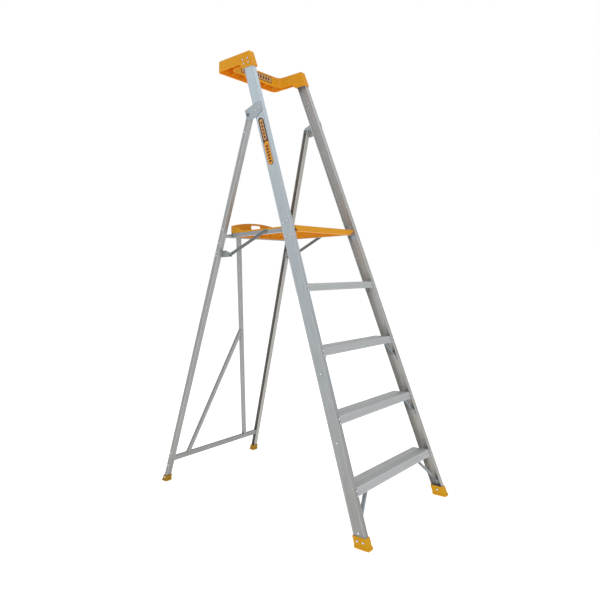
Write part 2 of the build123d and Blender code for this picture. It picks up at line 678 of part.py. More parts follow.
def rail(side):
    """C-section rail with its web outward, closing in toward the rear."""
    y_from, y_to = PIVOT_Y - 6, RAIL_END_Y
    low, high = RAIL_BOTTOM, RAIL_BOTTOM + RAIL_HEIGHT
    run = (-side * RAIL_SLOPE * (y_to - y_from), y_to - y_from, 0)
    x = rail_half(y_from)
    t = RAIL_SHEET
    outline = [(x, low), (x, high), (x - RAIL_WIDTH, high), (x - RAIL_WIDTH, high - t), (x - t, high - t),
               (x - t, low + t), (x - RAIL_WIDTH, low + t), (x - RAIL_WIDTH, low)]
    body = prism([(side * px, y_from, z) for px, z in outline], run)
    body -= box_at((side * (x - RAIL_WIDTH - 1), side * (x - t - 0.2)), (y_from - 1, PIVOT_Y + BOLT + 4),
                   (low - 1, high + 1))
    lug_end = y_from + 16
    lug = [(x, y_from), (x - t, y_from), (x - t - RAIL_SLOPE * 16, lug_end), (x - RAIL_SLOPE * 16, lug_end)]
    body += prism([(side * px, y, high - 1) for px, y in lug], (0, 0, LUG_TOP - high + 1))
    body -= rod_x(BOLT + BORE_PLAY, side * (x - t - 3), side * (x + 3), PIVOT_Y, PIVOT_Z)
    return body - rod_x(TAIL + BORE_PLAY, side * 200, side * 260, STRUT_HEAD_Y, STRUT_HEAD_Z)


def deck_plan(inset, z, back):
    """Trapezoid plan of the deck with rounded rear corners."""
    front = Y0 + STILE_LEAN * PLATFORM_TOP + DECK_FRONT + inset
    corners = []
    for y in (front, back - inset):
        x = rail_half(y) - inset
        corners.append((x, y))
    plan = Polygon((-corners[0][0], corners[0][1]), (corners[0][0], corners[0][1]),
                   (corners[1][0], corners[1][1]), (-corners[1][0], corners[1][1]), align=None)
    rear = plan.vertices().group_by(Axis.Y)[-1]
    return Pos(0, 0, z) * fillet(rear, CORNER - inset)


def toe_board():
    """Upright rear wall with swept ends, an arched top and a finger slot."""
    base = PLATFORM_TOP - 2
    band = extrude(deck_plan(0, base, DECK_BACK_Y), TOE_TOP - base + 5)
    band -= extrude(deck_plan(TOE_WALL, base - 1, DECK_BACK_Y), TOE_TOP - base + 10)
    arch = Spline((-214, PLATFORM_TOP + 27), (-117, TOE_TOP - 8), (0, TOE_TOP), (117, TOE_TOP - 8),
                  (214, PLATFORM_TOP + 27))
    outline = arch + Line((214, PLATFORM_TOP + 27), (214, base - 5)) + Line((214, base - 5), (-214, base - 5))
    outline += Line((-214, base - 5), (-214, PLATFORM_TOP + 27))
    front = Plane(origin=(0, Y0 + 700, 0), x_dir=(1, 0, 0), z_dir=(0, -1, 0))
    profile = extrude(front * make_face(outline), -400)
    back = DECK_BACK_Y + 5
    sweep = [(back, base - 5), (back, TOE_TOP + 10), (back - CORNER, TOE_TOP + 10),
             (back - CORNER - 12, PLATFORM_TOP + 27), (back - CORNER - 80, base), (back - CORNER - 80, base - 5)]
    ends = prism([(-300, y, z) for y, z in sweep], (600, 0, 0))
    slot_plane = Plane(origin=(0, DECK_BACK_Y + 10, 1395), x_dir=(1, 0, 0), z_dir=(0, -1, 0))
    slot = extrude(slot_plane * SlotOverall(76, 23), 40)
    return (band & profile & ends) - slot


def deck_ear(side):
    """Front corner of the tray carried out over the rail to a round boss on the platform pin."""
    reach = stile_web(PIVOT_Z) - WEB - 11.0
    start = rail_half(PIVOT_Y - 6) + GAP
    boss = rod_x(EAR, side * start, side * reach, PIVOT_Y, PIVOT_Z)
    front = PIVOT_Y - 1
    bridge = box_at((side * (start - 8), side * reach), (front, PIVOT_Y + EAR), (LUG_TOP + GAP, PLATFORM_TOP))
    web = box_at((side * start, side * reach), (front, PIVOT_Y + EAR), (PIVOT_Z, PLATFORM_TOP))
    return boss + bridge + web - rod_x(BOLT + BORE_PLAY, side * 200, side * 300, PIVOT_Y, PIVOT_Z)


def deck():
    """Moulded yellow tray: ribbed skin, lip over the rails, skirt between them and toe board."""
    skin_low = PLATFORM_TOP - DECK_SKIN
    lip_low = PLATFORM_TOP - DECK_LIP + GAP
    plan = deck_plan(0, lip_low, DECK_BACK_Y)
    body = extrude(plan, PLATFORM_TOP - lip_low)
    body -= extrude(deck_plan(4, lip_low - 1, DECK_BACK_Y), skin_low - lip_low + 1)
    skirt_low = RAIL_BOTTOM + 0.5
    inset = RAIL_WIDTH + GAP
    outer = extrude(deck_plan(inset, skirt_low, RAIL_END_Y + inset), skin_low - skirt_low + 1)
    inner = extrude(deck_plan(inset + 3, skirt_low - 1, RAIL_END_Y + inset), skin_low - skirt_low + 1)
    front = Y0 + STILE_LEAN * PLATFORM_TOP + DECK_FRONT
    apron_half = rail_half(front) - RAIL_SHEET - 0.9
    apron = [(-apron_half, lip_low), (apron_half, lip_low), (apron_half - RAIL_WIDTH, skirt_low),
             (-apron_half + RAIL_WIDTH, skirt_low)]
    body += outer - inner
    body += prism([(x, front, z) for x, z in apron], (0, 3, 0))
    body += box_at((-apron_half + RAIL_WIDTH + 1, apron_half - RAIL_WIDTH - 1), (front, front + inset + 2),
                   (skirt_low, skirt_low + 3))
    for i in range(5):
        x = -160 + 80 * i
        body += box_at((x - 1.5, x + 1.5), (front + 2, RAIL_END_Y - 2), (skirt_low + 8, skin_low + 1))
    body += toe_board()
    for side in (-1, 1):
        rail_x = rail_half(front)
        body -= box_at((side * (rail_x - 4.2), side * (rail_x + 1)), (front - 1, PIVOT_Y + 16),
                       (lip_low - 1, LUG_TOP + GAP))
        body += deck_ear(side)
    return body


def pivot_pin(side):
    """Pin the platform swings on, from the rail out into the stile bracket."""
    tip = stile_web(PIVOT_Z) - WEB - 3.5
    return rod_x(BOLT, side * (rail_half(PIVOT_Y) - RAIL_SHEET - 1.2), side * tip, PIVOT_Y, PIVOT_Z)


def hook(side):
    """Bent strap inside a rail that reaches over the upper bar and rests on it."""
    offset = (LEG_DEPTH - UPPER_BAR_DEPTH) / 2
    top = UPPER_BAR_BOTTOM + UPPER_BAR_HEIGHT
    bar_front = leg_front(top) + offset
    start, low = RAIL_END_Y - 60, RAIL_BOTTOM + RAIL_SHEET + 0.4
    t = HOOK_SHEET

    def strip(outline, thick):
        points = []
        for y, z in outline:
            points.append((side * (rail_half(y) - RAIL_SHEET - 0.1), y, z))
        return prism(points, (-side * thick, 0, 0))

    strap = strip([(start, low), (bar_front - 2, low), (bar_front - 2, top + 0.05),
                   (bar_front + 2, top + 0.05), (bar_front + 2, top + t), (start, top + t)], t)
    toe_y = leg_front(top - 11) + offset + UPPER_BAR_DEPTH + 1
    over = strip([(start, top + 0.05), (toe_y, top + 0.05), (toe_y, top - 11), (toe_y + t, top - 11),
                  (toe_y + t, top + t), (start, top + t)], HOOK_WIDTH)
    return strap + over


def platform_rivets():
    """Rivets through the rail webs, and the closed tails of the strut rivets inside the rails."""
    heads = []
    for side in (-1, 1):
        tail_x = rail_half(STRUT_HEAD_Y)
        tail = rod_x(TAIL, side * (tail_x - 7), side * (tail_x - 0.4), STRUT_HEAD_Y, STRUT_HEAD_Z)
        heads.append(tail + rod_x(TAIL + 2, side * (tail_x - 7), side * (tail_x - 3), STRUT_HEAD_Y, STRUT_HEAD_Z))
    return Compound(children=heads)


# ---- Struts ------------------------------------------------------------------

def strut_spot(side):
    """Where the headed rivet at the upper end of a strut sits."""
    x = strut_x(STRUT_HEAD_Y, STRUT_HEAD_Z) + 0.25
    return (side * x, STRUT_HEAD_Y, STRUT_HEAD_Z), (side, 0, 0), STRUT_SHEET + 1.5


def strut(side):
    """Pressed channel from the leg bracket to the rail, open toward the centre."""
    dy, dz = STRUT_HEAD_Y - STRUT_FOOT_Y, STRUT_HEAD_Z - STRUT_FOOT_Z
    length = math.hypot(dy, dz)
    uy, uz = dy / length, dz / length
    over = 8.0

    def corner(along, across, inset):
        y = STRUT_FOOT_Y + uy * along - uz * across
        z = STRUT_FOOT_Z + uz * along + uy * across
        return (side * (strut_x(STRUT_FOOT_Y + uy * along, STRUT_FOOT_Z + uz * along) - inset), y, z)

    def plate(low, high, start, end, inset, depth):
        points = [corner(start, low, inset), corner(end, low, inset),
                  corner(end, high, inset), corner(start, high, inset)]
        return prism(points, (-side * depth, 0, 0))

    low, high = -STRUT_ABOVE, STRUT_BELOW
    body = plate(low, high, -over, length + over, 0, STRUT_SHEET)
    body += plate(low, low + STRUT_SHEET, 8, length - 12, 0, STRUT_DEPTH)
    body += plate(high - STRUT_SHEET, high, 8, length - 12, 0, STRUT_DEPTH)
    body = drill(body, [strut_spot(side)])
    body -= rod_x(BOLT + BORE_PLAY, side * 200, side * 280, STRUT_FOOT_Y, STRUT_FOOT_Z)
    return body


def strut_rivet(side):
    """Headed rivet at the upper end of a strut; its tail in the rail is a separate piece."""
    return rivet(strut_spot(side))


def main():
    save_pair(stile, "stile")
    for number in (1, 2, 3, 4):
        save(tread(number), f"tread_{number}")
    for number, (foot_z, head_x) in BRACES.items():
        under = tread_top(number) - TREAD_SHEET - 0.1
        save_pair(lambda side: brace(side, foot_z, head_x, under), f"brace_{number}")
    save_pair(front_boot, "front_foot")
    save_pair(hinge_plate, "hinge_plate")
    save_pair(hinge_bolt, "hinge_bolt")
    save_pair(pivot_bracket, "pivot_bracket")
    save(top_guard(), "top_guard")
    save(stile_label(-1), "stile_label")
    save(guard_label(), "guard_label")
    save(rivets(sum([tread_spots(n) for n in (1, 2, 3, 4)], [])), "tread_rivets")
    save(rivets(web_spots(-1) + web_spots(1)), "web_rivets")
    save_pair(leg, "leg")
    save_pair(hinge_bush, "hinge_bush")
    for name, size in BARS.items():
        save(bar(*size), f"{name}_bar")
        save_pair(lambda side: bar_bracket(side, name), f"{name}_bar_bracket")
    save(diagonal_long(), "diagonal_long")
    save(diagonal_short(), "diagonal_short")
    save_pair(rear_boot, "rear_foot")
    save_pair(strut_bracket, "strut_bracket")
    save_pair(strut_pin, "strut_pin")
    save(rivets(leg_spots(-1) + leg_spots(1)), "leg_rivets")
    save(deck(), "platform_deck")
    save_pair(rail, "platform_rail")
    save_pair(hook, "platform_hook")
    save_pair(pivot_pin, "platform_pin")
    save(platform_rivets(), "platform_rivets")
    save_pair(strut, "strut")
    save_pair(strut_rivet, "strut_rivet")


main()
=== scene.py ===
import json
import math

import bmesh
import bpy
from mathutils import Matrix, Vector

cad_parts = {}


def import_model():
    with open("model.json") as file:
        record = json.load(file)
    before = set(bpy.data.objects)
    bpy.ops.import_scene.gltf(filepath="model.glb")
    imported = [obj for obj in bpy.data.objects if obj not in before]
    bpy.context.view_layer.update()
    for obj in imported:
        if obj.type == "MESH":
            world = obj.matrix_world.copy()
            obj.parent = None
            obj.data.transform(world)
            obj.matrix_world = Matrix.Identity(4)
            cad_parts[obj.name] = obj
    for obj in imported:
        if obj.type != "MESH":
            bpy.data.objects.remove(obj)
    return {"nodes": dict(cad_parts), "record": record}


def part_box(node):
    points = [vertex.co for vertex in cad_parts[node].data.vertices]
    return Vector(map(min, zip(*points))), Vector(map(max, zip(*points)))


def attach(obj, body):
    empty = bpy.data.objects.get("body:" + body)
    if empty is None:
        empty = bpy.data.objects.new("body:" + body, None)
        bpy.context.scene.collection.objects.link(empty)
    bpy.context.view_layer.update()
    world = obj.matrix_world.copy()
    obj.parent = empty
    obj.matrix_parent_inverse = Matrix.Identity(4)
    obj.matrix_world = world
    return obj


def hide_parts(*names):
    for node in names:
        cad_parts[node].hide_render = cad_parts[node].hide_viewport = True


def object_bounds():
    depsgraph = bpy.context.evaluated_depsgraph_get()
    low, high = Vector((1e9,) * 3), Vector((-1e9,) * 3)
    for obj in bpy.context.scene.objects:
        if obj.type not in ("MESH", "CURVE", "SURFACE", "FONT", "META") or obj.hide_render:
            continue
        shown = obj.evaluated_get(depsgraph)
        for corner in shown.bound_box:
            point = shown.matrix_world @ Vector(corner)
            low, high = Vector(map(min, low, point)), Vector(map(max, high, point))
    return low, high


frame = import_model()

CAD_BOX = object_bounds()
NODES = frame["nodes"]
BODY = {node: body for body, nodes in frame["record"]["behaviour"]["bodies"].items() for node in nodes}
SLOT = {part["node"]: part["material_slot"] for part in frame["record"]["subparts"]}
MOUNT = {mount["name"]: mount["pos_m"] for mount in frame["record"]["mounts"]}
MM = 0.001

# How the members lean: y over z of the stiles and of the legs, and x over z of the stiles.
STILE_RAKE = 0.3316
LEG_RAKE = 0.3175
STILE_TAPER = 0.068
STILE_LEAN = math.atan(STILE_RAKE)
LEG_LEAN = math.atan(LEG_RAKE)

DECK_TOP = MOUNT["standing_surface"][2]
SHELL = 3 * MM


# ---- Material nodes ----------------------------------------------------------

def new_material(name):
    material = bpy.data.materials.new(name)
    material.use_nodes = True
    tree = material.node_tree
    shader = tree.nodes["Principled BSDF"]
    return material, tree, shader


def link(tree, a, b):
    tree.links.new(a, b)


def turned_coords(tree, lean_x, lean_y):
    """Object coordinates turned so that Z runs along a leaning member."""
    coords = tree.nodes.new("ShaderNodeTexCoord")
    turn = tree.nodes.new("ShaderNodeMapping")
    turn.inputs["Rotation"].default_value = (lean_x, lean_y, 0)
    link(tree, coords.outputs["Object"], turn.inputs["Vector"])
    return turn.outputs["Vector"]


def scaled(tree, vector, scale):
    mapping = tree.nodes.new("ShaderNodeMapping")
    mapping.inputs["Scale"].default_value = scale
    link(tree, vector, mapping.inputs["Vector"])
    return mapping.outputs["Vector"]


def noise(tree, vector, scale, detail=4.0, rough=0.55):
    node = tree.nodes.new("ShaderNodeTexNoise")
    node.inputs["Scale"].default_value = scale
    node.inputs["Detail"].default_value = detail
    node.inputs["Roughness"].default_value = rough
    link(tree, vector, node.inputs["Vector"])
    return node.outputs["Fac"]


def remap(tree, value, low, high, to_low, to_high):
    node = tree.nodes.new("ShaderNodeMapRange")
    for key, number in (("From Min", low), ("From Max", high), ("To Min", to_low), ("To Max", to_high)):
        node.inputs[key].default_value = number
    link(tree, value, node.inputs["Value"])
    return node.outputs["Result"]


def mix(tree, factor, a, b, blend="MIX"):
    """Colour mix; a and b are colours or sockets, factor a number or a socket."""
    node = tree.nodes.new("ShaderNodeMix")
    node.data_type = "RGBA"
    node.blend_type = blend
    colours = [socket for socket in node.inputs if socket.type == "RGBA"]
    inputs = {"factor": node.inputs["Factor"], "a": colours[0], "b": colours[1]}
    for key, value in (("factor", factor), ("a", a), ("b", b)):
        if isinstance(value, bpy.types.NodeSocket):
            link(tree, value, inputs[key])
        elif key == "factor":
            inputs[key].default_value = value
        else:
            inputs[key].default_value = (*value, 1)
    return next(socket for socket in node.outputs if socket.type == "RGBA")


def add(tree, a, b, operation="ADD"):
    """The sum of two numbers or sockets, or the result of another operation on them."""
    node = tree.nodes.new("ShaderNodeMath")
    node.operation = operation
    for index, value in enumerate((a, b)):
        if isinstance(value, bpy.types.NodeSocket):
            link(tree, value, node.inputs[index])
        else:
            node.inputs[index].default_value = value
    return node.outputs["Value"]


def bump(tree, shader, height, distance, strength):
    node = tree.nodes.new("ShaderNodeBump")
    node.inputs["Distance"].default_value = distance
    node.inputs["Strength"].default_value = strength
    link(tree, height, node.inputs["Height"])
    link(tree, node.outputs["Normal"], shader.inputs["Normal"])


def height_shading(tree, low_colour, high_colour):
    """Painted shade and reflected light: a colour that drifts slowly from the foot of the ladder to its top.
    """
    coords = tree.nodes.new("ShaderNodeTexCoord")
    split = tree.nodes.new("ShaderNodeSeparateXYZ")
    link(tree, coords.outputs["Object"], split.inputs["Vector"])
    share = remap(tree, split.outputs["Z"], 0.0, CAD_BOX[1][2], 0.0, 1.0)
    return mix(tree, share, low_colour, high_colour)


METALLIC = 0.45
DARK_STREAK = (0.20, 0.20, 0.21)
BRIGHT_STREAK = (0.90, 0.92, 0.94)
STAIN = (0.30, 0.28, 0.25)
HANDLING_MARK = (0.22, 0.21, 0.20)
GROOVE_SHADE = (0.12, 0.12, 0.12)
DRAWN_OUT = 0.012           # how far the noise is stretched along an extrusion


def aluminium(name, low, high, lean_x=0.0, lean_y=0.0, along="Z", rough=0.42, flutes=0.0):
    """Mill-finish extrusion: drawn streaks along its length, faint stains and handling marks, over painted
    shade and reflected light that change with height.

    Flutes is the distance between drawn grooves that cross Z, or 0 for none.
    """
    material, tree, shader = new_material(name)
    vector = turned_coords(tree, lean_x, lean_y)
    stretch = {"Z": (1, 1, DRAWN_OUT), "X": (DRAWN_OUT, 1, 1)}[along]
    drawn = scaled(tree, vector, stretch)
    fine = noise(tree, drawn, 900.0, 3.0)
    broad = noise(tree, drawn, 150.0, 2.0)
    stain = noise(tree, vector, 9.0, 5.0, 0.6)
    marks = noise(tree, scaled(tree, vector, (1, 1, 0.2)), 60.0, 6.0, 0.7)
    # Painted shade and reflected light: darker toward the foot of the ladder, lighter toward its top.
    base = height_shading(tree, low, high)
    base = mix(tree, remap(tree, fine, 0.3, 0.7, 0.0, 0.12), base, DARK_STREAK)
    base = mix(tree, remap(tree, broad, 0.35, 0.7, 0.0, 0.10), base, BRIGHT_STREAK)
    base = mix(tree, remap(tree, stain, 0.45, 0.75, 0.0, 0.12), base, STAIN)
    base = mix(tree, remap(tree, marks, 0.64, 0.72, 0.0, 0.16), base, HANDLING_MARK)
    height = add(tree, fine, add(tree, broad, 1.5, "MULTIPLY"))
    if flutes:
        wave = tree.nodes.new("ShaderNodeTexWave")
        wave.bands_direction = "Z"
        wave.inputs["Scale"].default_value = math.pi / 10 / flutes   # bands repeat every pi / 10 / scale
        link(tree, vector, wave.inputs["Vector"])
        groove = remap(tree, wave.outputs["Fac"], 0.0, 0.4, 1.0, 0.0)
        base = mix(tree, add(tree, groove, 0.55, "MULTIPLY"), base, GROOVE_SHADE)
        height = add(tree, height, add(tree, groove, -4.0, "MULTIPLY"))
    link(tree, base, shader.inputs["Base Color"])
    shader.inputs["Metallic"].default_value = METALLIC
    roughness = add(tree, remap(tree, stain, 0.3, 0.7, rough - 0.06, rough + 0.10),
                    remap(tree, fine, 0.2, 0.8, -0.05, 0.05))
    link(tree, roughness, shader.inputs["Roughness"])
    bump(tree, shader, height, 0.00010, 0.6)
    return material


def zinc(name, colour, rough=0.5, metallic=0.75, spangle=0.3):
    """Hot-dip zinc: crystal spangle in colour and roughness over a slightly uneven skin."""
    material, tree, shader = new_material(name)
    vector = turned_coords(tree, 0, 0)
    cells = tree.nodes.new("ShaderNodeTexVoronoi")
    cells.inputs["Scale"].default_value = 260.0
    cells.inputs["Randomness"].default_value = 1.0
    warp = noise(tree, vector, 70.0, 3.0)
    shifted = mix(tree, 0.03, vector, warp, "ADD")
    link(tree, shifted, cells.inputs["Vector"])
    split = tree.nodes.new("ShaderNodeSeparateColor")
    link(tree, cells.outputs["Color"], split.inputs["Color"])
    crystal = split.outputs["Red"]
    cloudy = noise(tree, vector, 25.0, 5.0, 0.65)
    dark = tuple(c * (1 - spangle) for c in colour)
    light = tuple(min(1, c * (1 + 0.6 * spangle)) for c in colour)
    base = mix(tree, crystal, dark, light)
    base = mix(tree, remap(tree, cloudy, 0.35, 0.7, 0.0, 0.55), base, colour)
    link(tree, base, shader.inputs["Base Color"])
    shader.inputs["Metallic"].default_value = metallic
    link(tree, add(tree, remap(tree, crystal, 0, 1, rough - 0.10, rough + 0.08),
                   remap(tree, cloudy, 0.3, 0.7, -0.04, 0.08)), shader.inputs["Roughness"])
    bump(tree, shader, add(tree, cloudy, add(tree, crystal, 0.15, "MULTIPLY")), 0.0003, 0.5)
    return material


RUBBED_GRAIN = (0.95, 0.72, 0.30)


def moulded(name, colour, deep, rough=0.46, specular=0.2):
    """Moulded plastic: spark-eroded grain, slow colour drift, rubbed and scuffed patches."""
    material, tree, shader = new_material(name)
    scuffed = tuple(c * 0.6 for c in deep)
    vector = turned_coords(tree, 0, 0)
    grain = noise(tree, vector, 1500.0, 2.0)
    cloudy = noise(tree, vector, 11.0, 4.0)
    scuff = noise(tree, scaled(tree, vector, (1, 0.25, 1)), 90.0, 7.0, 0.72)
    base = mix(tree, remap(tree, cloudy, 0.3, 0.7, 0.0, 1.0), deep, colour)
    base = mix(tree, remap(tree, scuff, 0.60, 0.72, 0.0, 0.14), base, scuffed)
    base = mix(tree, remap(tree, grain, 0.35, 0.75, 0.0, 0.05), base, RUBBED_GRAIN)
    link(tree, base, shader.inputs["Base Color"])
    link(tree, add(tree, remap(tree, grain, 0.2, 0.8, rough - 0.07, rough + 0.07),
                   remap(tree, scuff, 0.55, 0.75, 0.0, 0.12)), shader.inputs["Roughness"])
    shader.inputs["Specular IOR Level"].default_value = specular
    bump(tree, shader, add(tree, grain, add(tree, scuff, 0.4, "MULTIPLY")), 0.00010, 0.4)
    return material


def printed(name, colour):
    """Printed vinyl: dense ink with a faint screen and fine scratches."""
    rough = 0.32
    speckled = tuple(min(1, c + 0.12) for c in colour)
    scratched = tuple(c * 0.7 + 0.08 for c in colour)
    material, tree, shader = new_material(name)
    vector = turned_coords(tree, 0, 0)
    speck = noise(tree, vector, 900.0, 2.0)
    scratch = noise(tree, scaled(tree, vector, (1, 0.1, 1)), 220.0, 6.0, 0.7)
    base = mix(tree, remap(tree, speck, 0.4, 0.7, 0.0, 0.14), colour, speckled)
    base = mix(tree, remap(tree, scratch, 0.63, 0.72, 0.0, 0.3), base, scratched)
    link(tree, base, shader.inputs["Base Color"])
    shader.inputs["Specular IOR Level"].default_value = 0.12
    link(tree, remap(tree, scratch, 0.3, 0.7, rough - 0.06, rough + 0.14), shader.inputs["Roughness"])
    bump(tree, shader, scratch, 0.00005, 0.5)
    return material


# The two colours of each extrusion paint shade toward the foot and reflected light toward the top.
STILE_METAL = aluminium("stile_metal", (0.255, 0.245, 0.226), (0.56, 0.66, 0.73), STILE_LEAN)
# A lighter copy of the leg metal that paints light into the far leg's shaded channel.
FAR_LEG_PAINTED_LIGHT = aluminium("far_leg_painted_light", (0.33, 0.31, 0.28), (0.40, 0.385, 0.355), -LEG_LEAN)
BRACE_METAL = zinc("brace_zinc", (0.38, 0.42, 0.45), rough=0.42, metallic=0.4)
# A copy of the stile metal with the warm, dimmer light inside the far stile's channel painted into it.
FAR_STILE_PAINTED_LIGHT = aluminium("far_stile_painted_light", (0.39, 0.37, 0.33), (0.46, 0.46, 0.455), STILE_LEAN)
LEG_METAL = aluminium("leg_metal", (0.235, 0.227, 0.21), (0.38, 0.395, 0.405), -LEG_LEAN)
BAR_METAL = aluminium("bar_metal", (0.27, 0.27, 0.257), (0.28, 0.29, 0.29), along="X")
FLUTED_METAL = aluminium("fluted_metal", (0.24, 0.24, 0.23), (0.25, 0.26, 0.26), along="X", flutes=9.3 * MM)
TREAD_METAL = aluminium("tread_metal", (0.47, 0.48, 0.48), (0.49, 0.53, 0.53), along="X", rough=0.48)
RAIL_METAL = aluminium("rail_metal", (0.30, 0.31, 0.31), (0.34, 0.35, 0.36), math.pi / 2)
# Painted highlight for the rounded edges of the aluminium, lighter and cooler than the faces.
EDGE_HIGHLIGHT_METAL = aluminium("edge_highlight_metal", (0.40, 0.39, 0.37), (0.66, 0.70, 0.73), STILE_LEAN, rough=0.34)
ZINC = zinc("zinc_sheet", (0.17, 0.185, 0.18), metallic=0.5)
# Painted highlight for the rounded edges of zinc parts.
ZINC_HIGHLIGHT_EDGE = zinc("zinc_highlight_edge", (0.28, 0.30, 0.29), rough=0.42, metallic=0.5)
BRACKET_ZINC = zinc("bracket_zinc", (0.33, 0.355, 0.34), rough=0.46, metallic=0.4)
PLATE_ZINC = zinc("plate_zinc", (0.44, 0.49, 0.52), rough=0.40, metallic=0.5, spangle=0.12)
# Painted shade line for the rounded edges of the plates and brackets.
PLATE_SHADE_EDGE = zinc("plate_shade_edge", (0.20, 0.22, 0.23), rough=0.40, metallic=0.5)
BRIGHT = zinc("rivet_metal", (0.78, 0.81, 0.83), rough=0.30, metallic=0.5)
BOLT_ZINC = zinc("bolt_zinc", (0.20, 0.22, 0.23), rough=0.40, metallic=0.5)
# Painted shade for the rims of rivet heads.
RIVET_RIM_SHADE = zinc("rivet_rim_shade", (0.10, 0.105, 0.11), rough=0.5, metallic=0.4)
YELLOW = moulded("yellow_moulding", (0.66, 0.285, 0.003), (0.61, 0.25, 0.002))
# Painted highlight for the rounded edges of the yellow mouldings.
YELLOW_HIGHLIGHT_EDGE = moulded("yellow_highlight_edge", (0.70, 0.315, 0.008), (0.66, 0.275, 0.004), rough=0.40)
# Painted light for the undersides of the mouldings and the inside of the guard's hollow.
YELLOW_UNDER_LIGHT = moulded("yellow_under_light", (0.80, 0.305, 0.003), (0.76, 0.28, 0.002), rough=0.52)
FOOT = moulded("foot_moulding", (0.62, 0.31, 0.002), (0.57, 0.27, 0.001), specular=0.1)
# Painted highlight on the front foot's rounded edges.
FOOT_EDGE = moulded("foot_edge", (0.66, 0.36, 0.006), (0.62, 0.31, 0.004), specular=0.1)
REAR_FOOT = moulded("rear_foot_moulding", (0.34, 0.175, 0.002), (0.27, 0.125, 0.001), specular=0.1)
# Painted highlight on the rear foot's rounded edges.
REAR_FOOT_EDGE = moulded("rear_foot_edge", (0.42, 0.225, 0.006), (0.36, 0.175, 0.004), rough=0.40,
                         specular=0.1)
LABEL_BLACK = printed("label_black", (0.012, 0.012, 0.013))
LABEL_TAN = printed("label_tan", (0.56, 0.29, 0.11))
LABEL_ORANGE = printed("label_orange", (0.66, 0.27, 0.025))
LABEL_DARK = printed("label_dark", (0.09, 0.045, 0.03))
BUSH = moulded("bush_nylon", (0.05, 0.05, 0.052), (0.035, 0.035, 0.037))


# ---- Meshes ------------------------------------------------------------------

SMOOTH_BELOW = math.radians(38)
FACE_WEIGHT = 60


def finish_mesh(name, bm, materials, body, nodes):
    """Make an object of a bmesh, smooth it by angle, and let it ride on its body."""
    bmesh.ops.recalc_face_normals(bm, faces=bm.faces[:])
    mesh = bpy.data.meshes.new(name)
    bm.to_mesh(mesh)
    bm.free()
    for material in materials:
        mesh.materials.append(material)
    mesh.polygons.foreach_set("use_smooth", [True] * len(mesh.polygons))
    mesh.set_sharp_from_angle(angle=SMOOTH_BELOW)
    piece = bpy.data.objects.new(name, mesh)
    bpy.context.scene.collection.objects.link(piece)
    weighted = piece.modifiers.new("weighted", "WEIGHTED_NORMAL")
    weighted.keep_sharp = True
    weighted.weight = FACE_WEIGHT
    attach(piece, body)
    if nodes:
        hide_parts(*nodes)


MERGE_WITHIN = 0.002 * MM
FLAT_WITHIN = math.radians(0.5)
SHARP_OVER = math.radians(28)
LEAST_LENGTH = 2.2          # shortest edge that is rounded, in rounding widths
ANY_HEIGHT = -1.0


def soften(bm, width, above):
    """Round the sharp edges above a height; the rounded faces take the second material, a painted highlight
    or painted shade line.
    """
    bmesh.ops.remove_doubles(bm, verts=bm.verts[:], dist=MERGE_WITHIN)
    bmesh.ops.dissolve_limit(bm, angle_limit=FLAT_WITHIN, verts=bm.verts[:], edges=bm.edges[:])
    sharp = []
    for edge in bm.edges:
        high_enough = min(vert.co.z for vert in edge.verts) > above
        if high_enough and len(edge.link_faces) == 2 and edge.calc_length() > LEAST_LENGTH * width:
            if edge.calc_face_angle(0) > SHARP_OVER:
                sharp.append(edge)
    bmesh.ops.bevel(bm, geom=sharp, offset=width, segments=2, profile=0.5, affect="EDGES",
                    clamp_overlap=False, material=1)


GUARD_LOW, GUARD_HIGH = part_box("top_guard")
BAY_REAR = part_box("guard_label")[1].y
BAY_HALF = 184 * MM
UNDERSIDE = -0.6            # a face whose normal's z is under this is an underside


def in_hollow(point):
    """Whether a point of the guard lies behind its outer skin and outside the bay."""
    climb = point.z - GUARD_LOW.z
    half = GUARD_HIGH.x - STILE_TAPER * climb
    front = GUARD_LOW.y + STILE_RAKE * climb
    behind_skin = (abs(point.x) < half - SHELL and front + SHELL < point.y < GUARD_HIGH.y - SHELL
                   and point.z < GUARD_HIGH.z - SHELL)
    return behind_skin and (abs(point.x) > BAY_HALF + SHELL or point.y > BAY_REAR + SHELL)


def from_cad(node, materials, width):
    """A softened piece made from a CAD node's own mesh; a third material, painted underside light, goes on
    its underside.

    The deck's ribs and skirt, below its top skin, keep their sharp edges: rounded ones shade black there.
    """
    bm = bmesh.new()
    bm.from_mesh(NODES[node].data)
    soften(bm, width, DECK_TOP - SHELL if node == "platform_deck" else ANY_HEIGHT)
    # Undersides, and the guard's faces inside its hollow, take the third material, which paints light on
    # them.
    if len(materials) > 2:
        bm.normal_update()
        for face in bm.faces:
            hidden = node == "top_guard" and in_hollow(face.calc_center_median())
            if hidden or face.normal.z < UNDERSIDE:
                face.material_index = 2
    finish_mesh(node + "_piece", bm, materials, BODY[node], [node])


